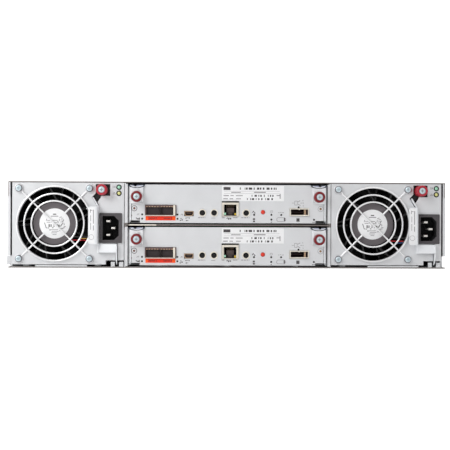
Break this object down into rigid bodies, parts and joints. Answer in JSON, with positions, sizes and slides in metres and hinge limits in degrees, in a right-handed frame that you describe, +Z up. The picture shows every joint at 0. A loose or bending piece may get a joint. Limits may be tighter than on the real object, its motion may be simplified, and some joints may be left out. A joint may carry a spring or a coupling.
{
  "type": "disk shelf enclosure",
  "caption": "Two-unit rack enclosure for disk drives, with plug-in power modules with fans, stacked controller modules and covered drive bays.",
  "frame": {"origin": "centre of the footprint, on the underside of the tray", "axes": "+Z up; -Y is the service side with the power and controller modules; +Y is the drive side with the rack ears"},
  "size_m": [0.4826, 0.597, 0.088],
  "materials": {
    "zinc_steel": "zinc-plated sheet",
    "bright_steel": "bright nickel-plated",
    "port_metal": "tin-plated, warm",
    "black_plastic": "moulded, fine texture",
    "blank_plastic": "moulded, fine texture",
    "red_plastic": "satin",
    "lamp_lens": "clear moulded",
    "circuit_board": "lacquered laminate"
  },
  "bodies": {
    "chassis": {"chassis_tray": "zinc_steel", "top_cover": "zinc_steel", "cover_screws": "bright_steel", "rack_ears": "zinc_steel", "bay_dividers": "zinc_steel", "drive_cage": "zinc_steel", "midplane_board": "circuit_board", "midplane_connectors": "black_plastic"},
    "left_power_module": {"left_power_panel": "zinc_steel", "left_power_case": "zinc_steel", "left_power_board": "circuit_board", "left_power_fan_frame": "black_plastic", "left_power_finger_guard": "bright_steel", "left_power_guard_screws": "bright_steel", "left_power_inlet": "black_plastic", "left_power_lamps": "lamp_lens"},
    "left_fan_rotor": {"left_power_fan_rotor": "black_plastic"},
    "left_power_lever": {"left_power_lever": "bright_steel"},
    "left_power_thumbscrew": {"left_power_thumbscrew": "red_plastic"},
    "right_power_module": {"right_power_panel": "zinc_steel", "right_power_case": "zinc_steel", "right_power_board": "circuit_board", "right_power_fan_frame": "black_plastic", "right_power_finger_guard": "bright_steel", "right_power_guard_screws": "bright_steel", "right_power_inlet": "black_plastic", "right_power_lamps": "lamp_lens"},
    "right_fan_rotor": {"right_power_fan_rotor": "black_plastic"},
    "right_power_lever": {"right_power_lever": "bright_steel"},
    "right_power_thumbscrew": {"right_power_thumbscrew": "red_plastic"},
    "lower_controller": {"lower_controller_panel": "zinc_steel", "lower_controller_tray": "zinc_steel", "lower_controller_board": "circuit_board", "lower_controller_ports": "port_metal"},
    "lower_controller_button": {"lower_controller_button": "red_plastic"},
    "lower_controller_latch_left": {"lower_controller_latch_left": "bright_steel"},
    "lower_controller_screw_left": {"lower_controller_screw_left": "red_plastic"},
    "lower_controller_latch_right": {"lower_controller_latch_right": "bright_steel"},
    "lower_controller_screw_right": {"lower_controller_screw_right": "red_plastic"},
    "upper_controller": {"upper_controller_panel": "zinc_steel", "upper_controller_tray": "zinc_steel", "upper_controller_board": "circuit_board", "upper_controller_ports": "port_metal"},
    "upper_controller_button": {"upper_controller_button": "red_plastic"},
    "upper_controller_latch_left": {"upper_controller_latch_left": "bright_steel"},
    "upper_controller_screw_left": {"upper_controller_screw_left": "red_plastic"},
    "upper_controller_latch_right": {"upper_controller_latch_right": "bright_steel"},
    "upper_controller_screw_right": {"upper_controller_screw_right": "red_plastic"},
    "drive_blank_r1_c1": {"drive_blank_r1_c1": "blank_plastic"},
    "drive_blank_r1_c2": {"drive_blank_r1_c2": "blank_plastic"},
    "drive_blank_r1_c3": {"drive_blank_r1_c3": "blank_plastic"},
    "drive_blank_r1_c4": {"drive_blank_r1_c4": "blank_plastic"},
    "drive_blank_r2_c1": {"drive_blank_r2_c1": "blank_plastic"},
    "drive_blank_r2_c2": {"drive_blank_r2_c2": "blank_plastic"},
    "drive_blank_r2_c3": {"drive_blank_r2_c3": "blank_plastic"},
    "drive_blank_r2_c4": {"drive_blank_r2_c4": "blank_plastic"},
    "drive_blank_r3_c1": {"drive_blank_r3_c1": "blank_plastic"},
    "drive_blank_r3_c2": {"drive_blank_r3_c2": "blank_plastic"},
    "drive_blank_r3_c3": {"drive_blank_r3_c3": "blank_plastic"},
    "drive_blank_r3_c4": {"drive_blank_r3_c4": "blank_plastic"}
  },
  "joints": [
    {"name": "left_power_slide", "type": "slide", "parent": "chassis", "child": "left_power_module", "axis": [0, -1, 0], "range_m": [0, 0.36]},
    {"name": "left_fan_spin", "type": "hinge", "parent": "left_power_module", "child": "left_fan_rotor", "pos_m": [-0.1766, -0.2675, 0.04505], "axis": [0, 1, 0], "continuous": true},
    {"name": "left_power_lever_pivot", "type": "hinge", "parent": "left_power_module", "child": "left_power_lever", "pos_m": [-0.1133, -0.281, 0.012], "axis": [1, 0, 0], "range_deg": [0, 50]},
    {"name": "left_power_thumbscrew_turn", "type": "hinge", "parent": "left_power_lever", "child": "left_power_thumbscrew", "pos_m": [-0.128, -0.2875, 0.0794], "axis": [0, 1, 0], "continuous": true},
    {"name": "right_power_slide", "type": "slide", "parent": "chassis", "child": "right_power_module", "axis": [0, -1, 0], "range_m": [0, 0.36]},
    {"name": "right_fan_spin", "type": "hinge", "parent": "right_power_module", "child": "right_fan_rotor", "pos_m": [0.1487, -0.2675, 0.04505], "axis": [0, 1, 0], "continuous": true},
    {"name": "right_power_lever_pivot", "type": "hinge", "parent": "right_power_module", "child": "right_power_lever", "pos_m": [0.212, -0.281, 0.012], "axis": [1, 0, 0], "range_deg": [0, 50]},
    {"name": "right_power_thumbscrew_turn", "type": "hinge", "parent": "right_power_lever", "child": "right_power_thumbscrew", "pos_m": [0.1973, -0.2875, 0.0794], "axis": [0, 1, 0], "continuous": true},
    {"name": "lower_controller_slide", "type": "slide", "parent": "chassis", "child": "lower_controller", "axis": [0, -1, 0], "range_m": [0, 0.36]},
    {"name": "lower_controller_button_press", "type": "slide", "parent": "lower_controller", "child": "lower_controller_button", "axis": [0, 1, 0], "range_m": [0, 0.001], "stiffness_N_per_m": 400},
    {"name": "lower_controller_latch_left_pivot", "type": "hinge", "parent": "lower_controller", "child": "lower_controller_latch_left", "pos_m": [-0.0994, -0.2835, 0.01], "axis": [1, 0, 0], "range_deg": [0, 60]},
    {"name": "lower_controller_screw_left_turn", "type": "hinge", "parent": "lower_controller_latch_left", "child": "lower_controller_screw_left", "pos_m": [-0.093, -0.2875, 0.0294], "axis": [0, 1, 0], "continuous": true},
    {"name": "lower_controller_latch_right_pivot", "type": "hinge", "parent": "lower_controller", "child": "lower_controller_latch_right", "pos_m": [0.0994, -0.2835, 0.01], "axis": [1, 0, 0], "range_deg": [0, 60]},
    {"name": "lower_controller_screw_right_turn", "type": "hinge", "parent": "lower_controller_latch_right", "child": "lower_controller_screw_right", "pos_m": [0.093, -0.2875, 0.0294], "axis": [0, 1, 0], "continuous": true},
    {"name": "upper_controller_slide", "type": "slide", "parent": "chassis", "child": "upper_controller", "axis": [0, -1, 0], "range_m": [0, 0.36]},
    {"name": "upper_controller_button_press", "type": "slide", "parent": "upper_controller", "child": "upper_controller_button", "axis": [0, 1, 0], "range_m": [0, 0.001], "stiffness_N_per_m": 400},
    {"name": "upper_controller_latch_left_pivot", "type": "hinge", "parent": "upper_controller", "child": "upper_controller_latch_left", "pos_m": [-0.0994, -0.2835, 0.0533], "axis": [1, 0, 0], "range_deg": [0, 60]},
    {"name": "upper_controller_screw_left_turn", "type": "hinge", "parent": "upper_controller_latch_left", "child": "upper_controller_screw_left", "pos_m": [-0.093, -0.2875, 0.0727], "axis": [0, 1, 0], "continuous": true},
    {"name": "upper_controller_latch_right_pivot", "type": "hinge", "parent": "upper_controller", "child": "upper_controller_latch_right", "pos_m": [0.0994, -0.2835, 0.0533], "axis": [1, 0, 0], "range_deg": [0, 60]},
    {"name": "upper_controller_screw_right_turn", "type": "hinge", "parent": "upper_controller_latch_right", "child": "upper_controller_screw_right", "pos_m": [0.093, -0.2875, 0.0727], "axis": [0, 1, 0], "continuous": true},
    {"name": "drive_blank_r1_c1_pull", "type": "slide", "parent": "chassis", "child": "drive_blank_r1_c1", "axis": [0, 1, 0], "range_m": [0, 0.12]},
    {"name": "drive_blank_r1_c2_pull", "type": "slide", "parent": "chassis", "child": "drive_blank_r1_c2", "axis": [0, 1, 0], "range_m": [0, 0.12]},
    {"name": "drive_blank_r1_c3_pull", "type": "slide", "parent": "chassis", "child": "drive_blank_r1_c3", "axis": [0, 1, 0], "range_m": [0, 0.12]},
    {"name": "drive_blank_r1_c4_pull", "type": "slide", "parent": "chassis", "child": "drive_blank_r1_c4", "axis": [0, 1, 0], "range_m": [0, 0.12]},
    {"name": "drive_blank_r2_c1_pull", "type": "slide", "parent": "chassis", "child": "drive_blank_r2_c1", "axis": [0, 1, 0], "range_m": [0, 0.12]},
    {"name": "drive_blank_r2_c2_pull", "type": "slide", "parent": "chassis", "child": "drive_blank_r2_c2", "axis": [0, 1, 0], "range_m": [0, 0.12]},
    {"name": "drive_blank_r2_c3_pull", "type": "slide", "parent": "chassis", "child": "drive_blank_r2_c3", "axis": [0, 1, 0], "range_m": [0, 0.12]},
    {"name": "drive_blank_r2_c4_pull", "type": "slide", "parent": "chassis", "child": "drive_blank_r2_c4", "axis": [0, 1, 0], "range_m": [0, 0.12]},
    {"name": "drive_blank_r3_c1_pull", "type": "slide", "parent": "chassis", "child": "drive_blank_r3_c1", "axis": [0, 1, 0], "range_m": [0, 0.12]},
    {"name": "drive_blank_r3_c2_pull", "type": "slide", "parent": "chassis", "child": "drive_blank_r3_c2", "axis": [0, 1, 0], "range_m": [0, 0.12]},
    {"name": "drive_blank_r3_c3_pull", "type": "slide", "parent": "chassis", "child": "drive_blank_r3_c3", "axis": [0, 1, 0], "range_m": [0, 0.12]},
    {"name": "drive_blank_r3_c4_pull", "type": "slide", "parent": "chassis", "child": "drive_blank_r3_c4", "axis": [0, 1, 0], "range_m": [0, 0.12]}
  ]
}
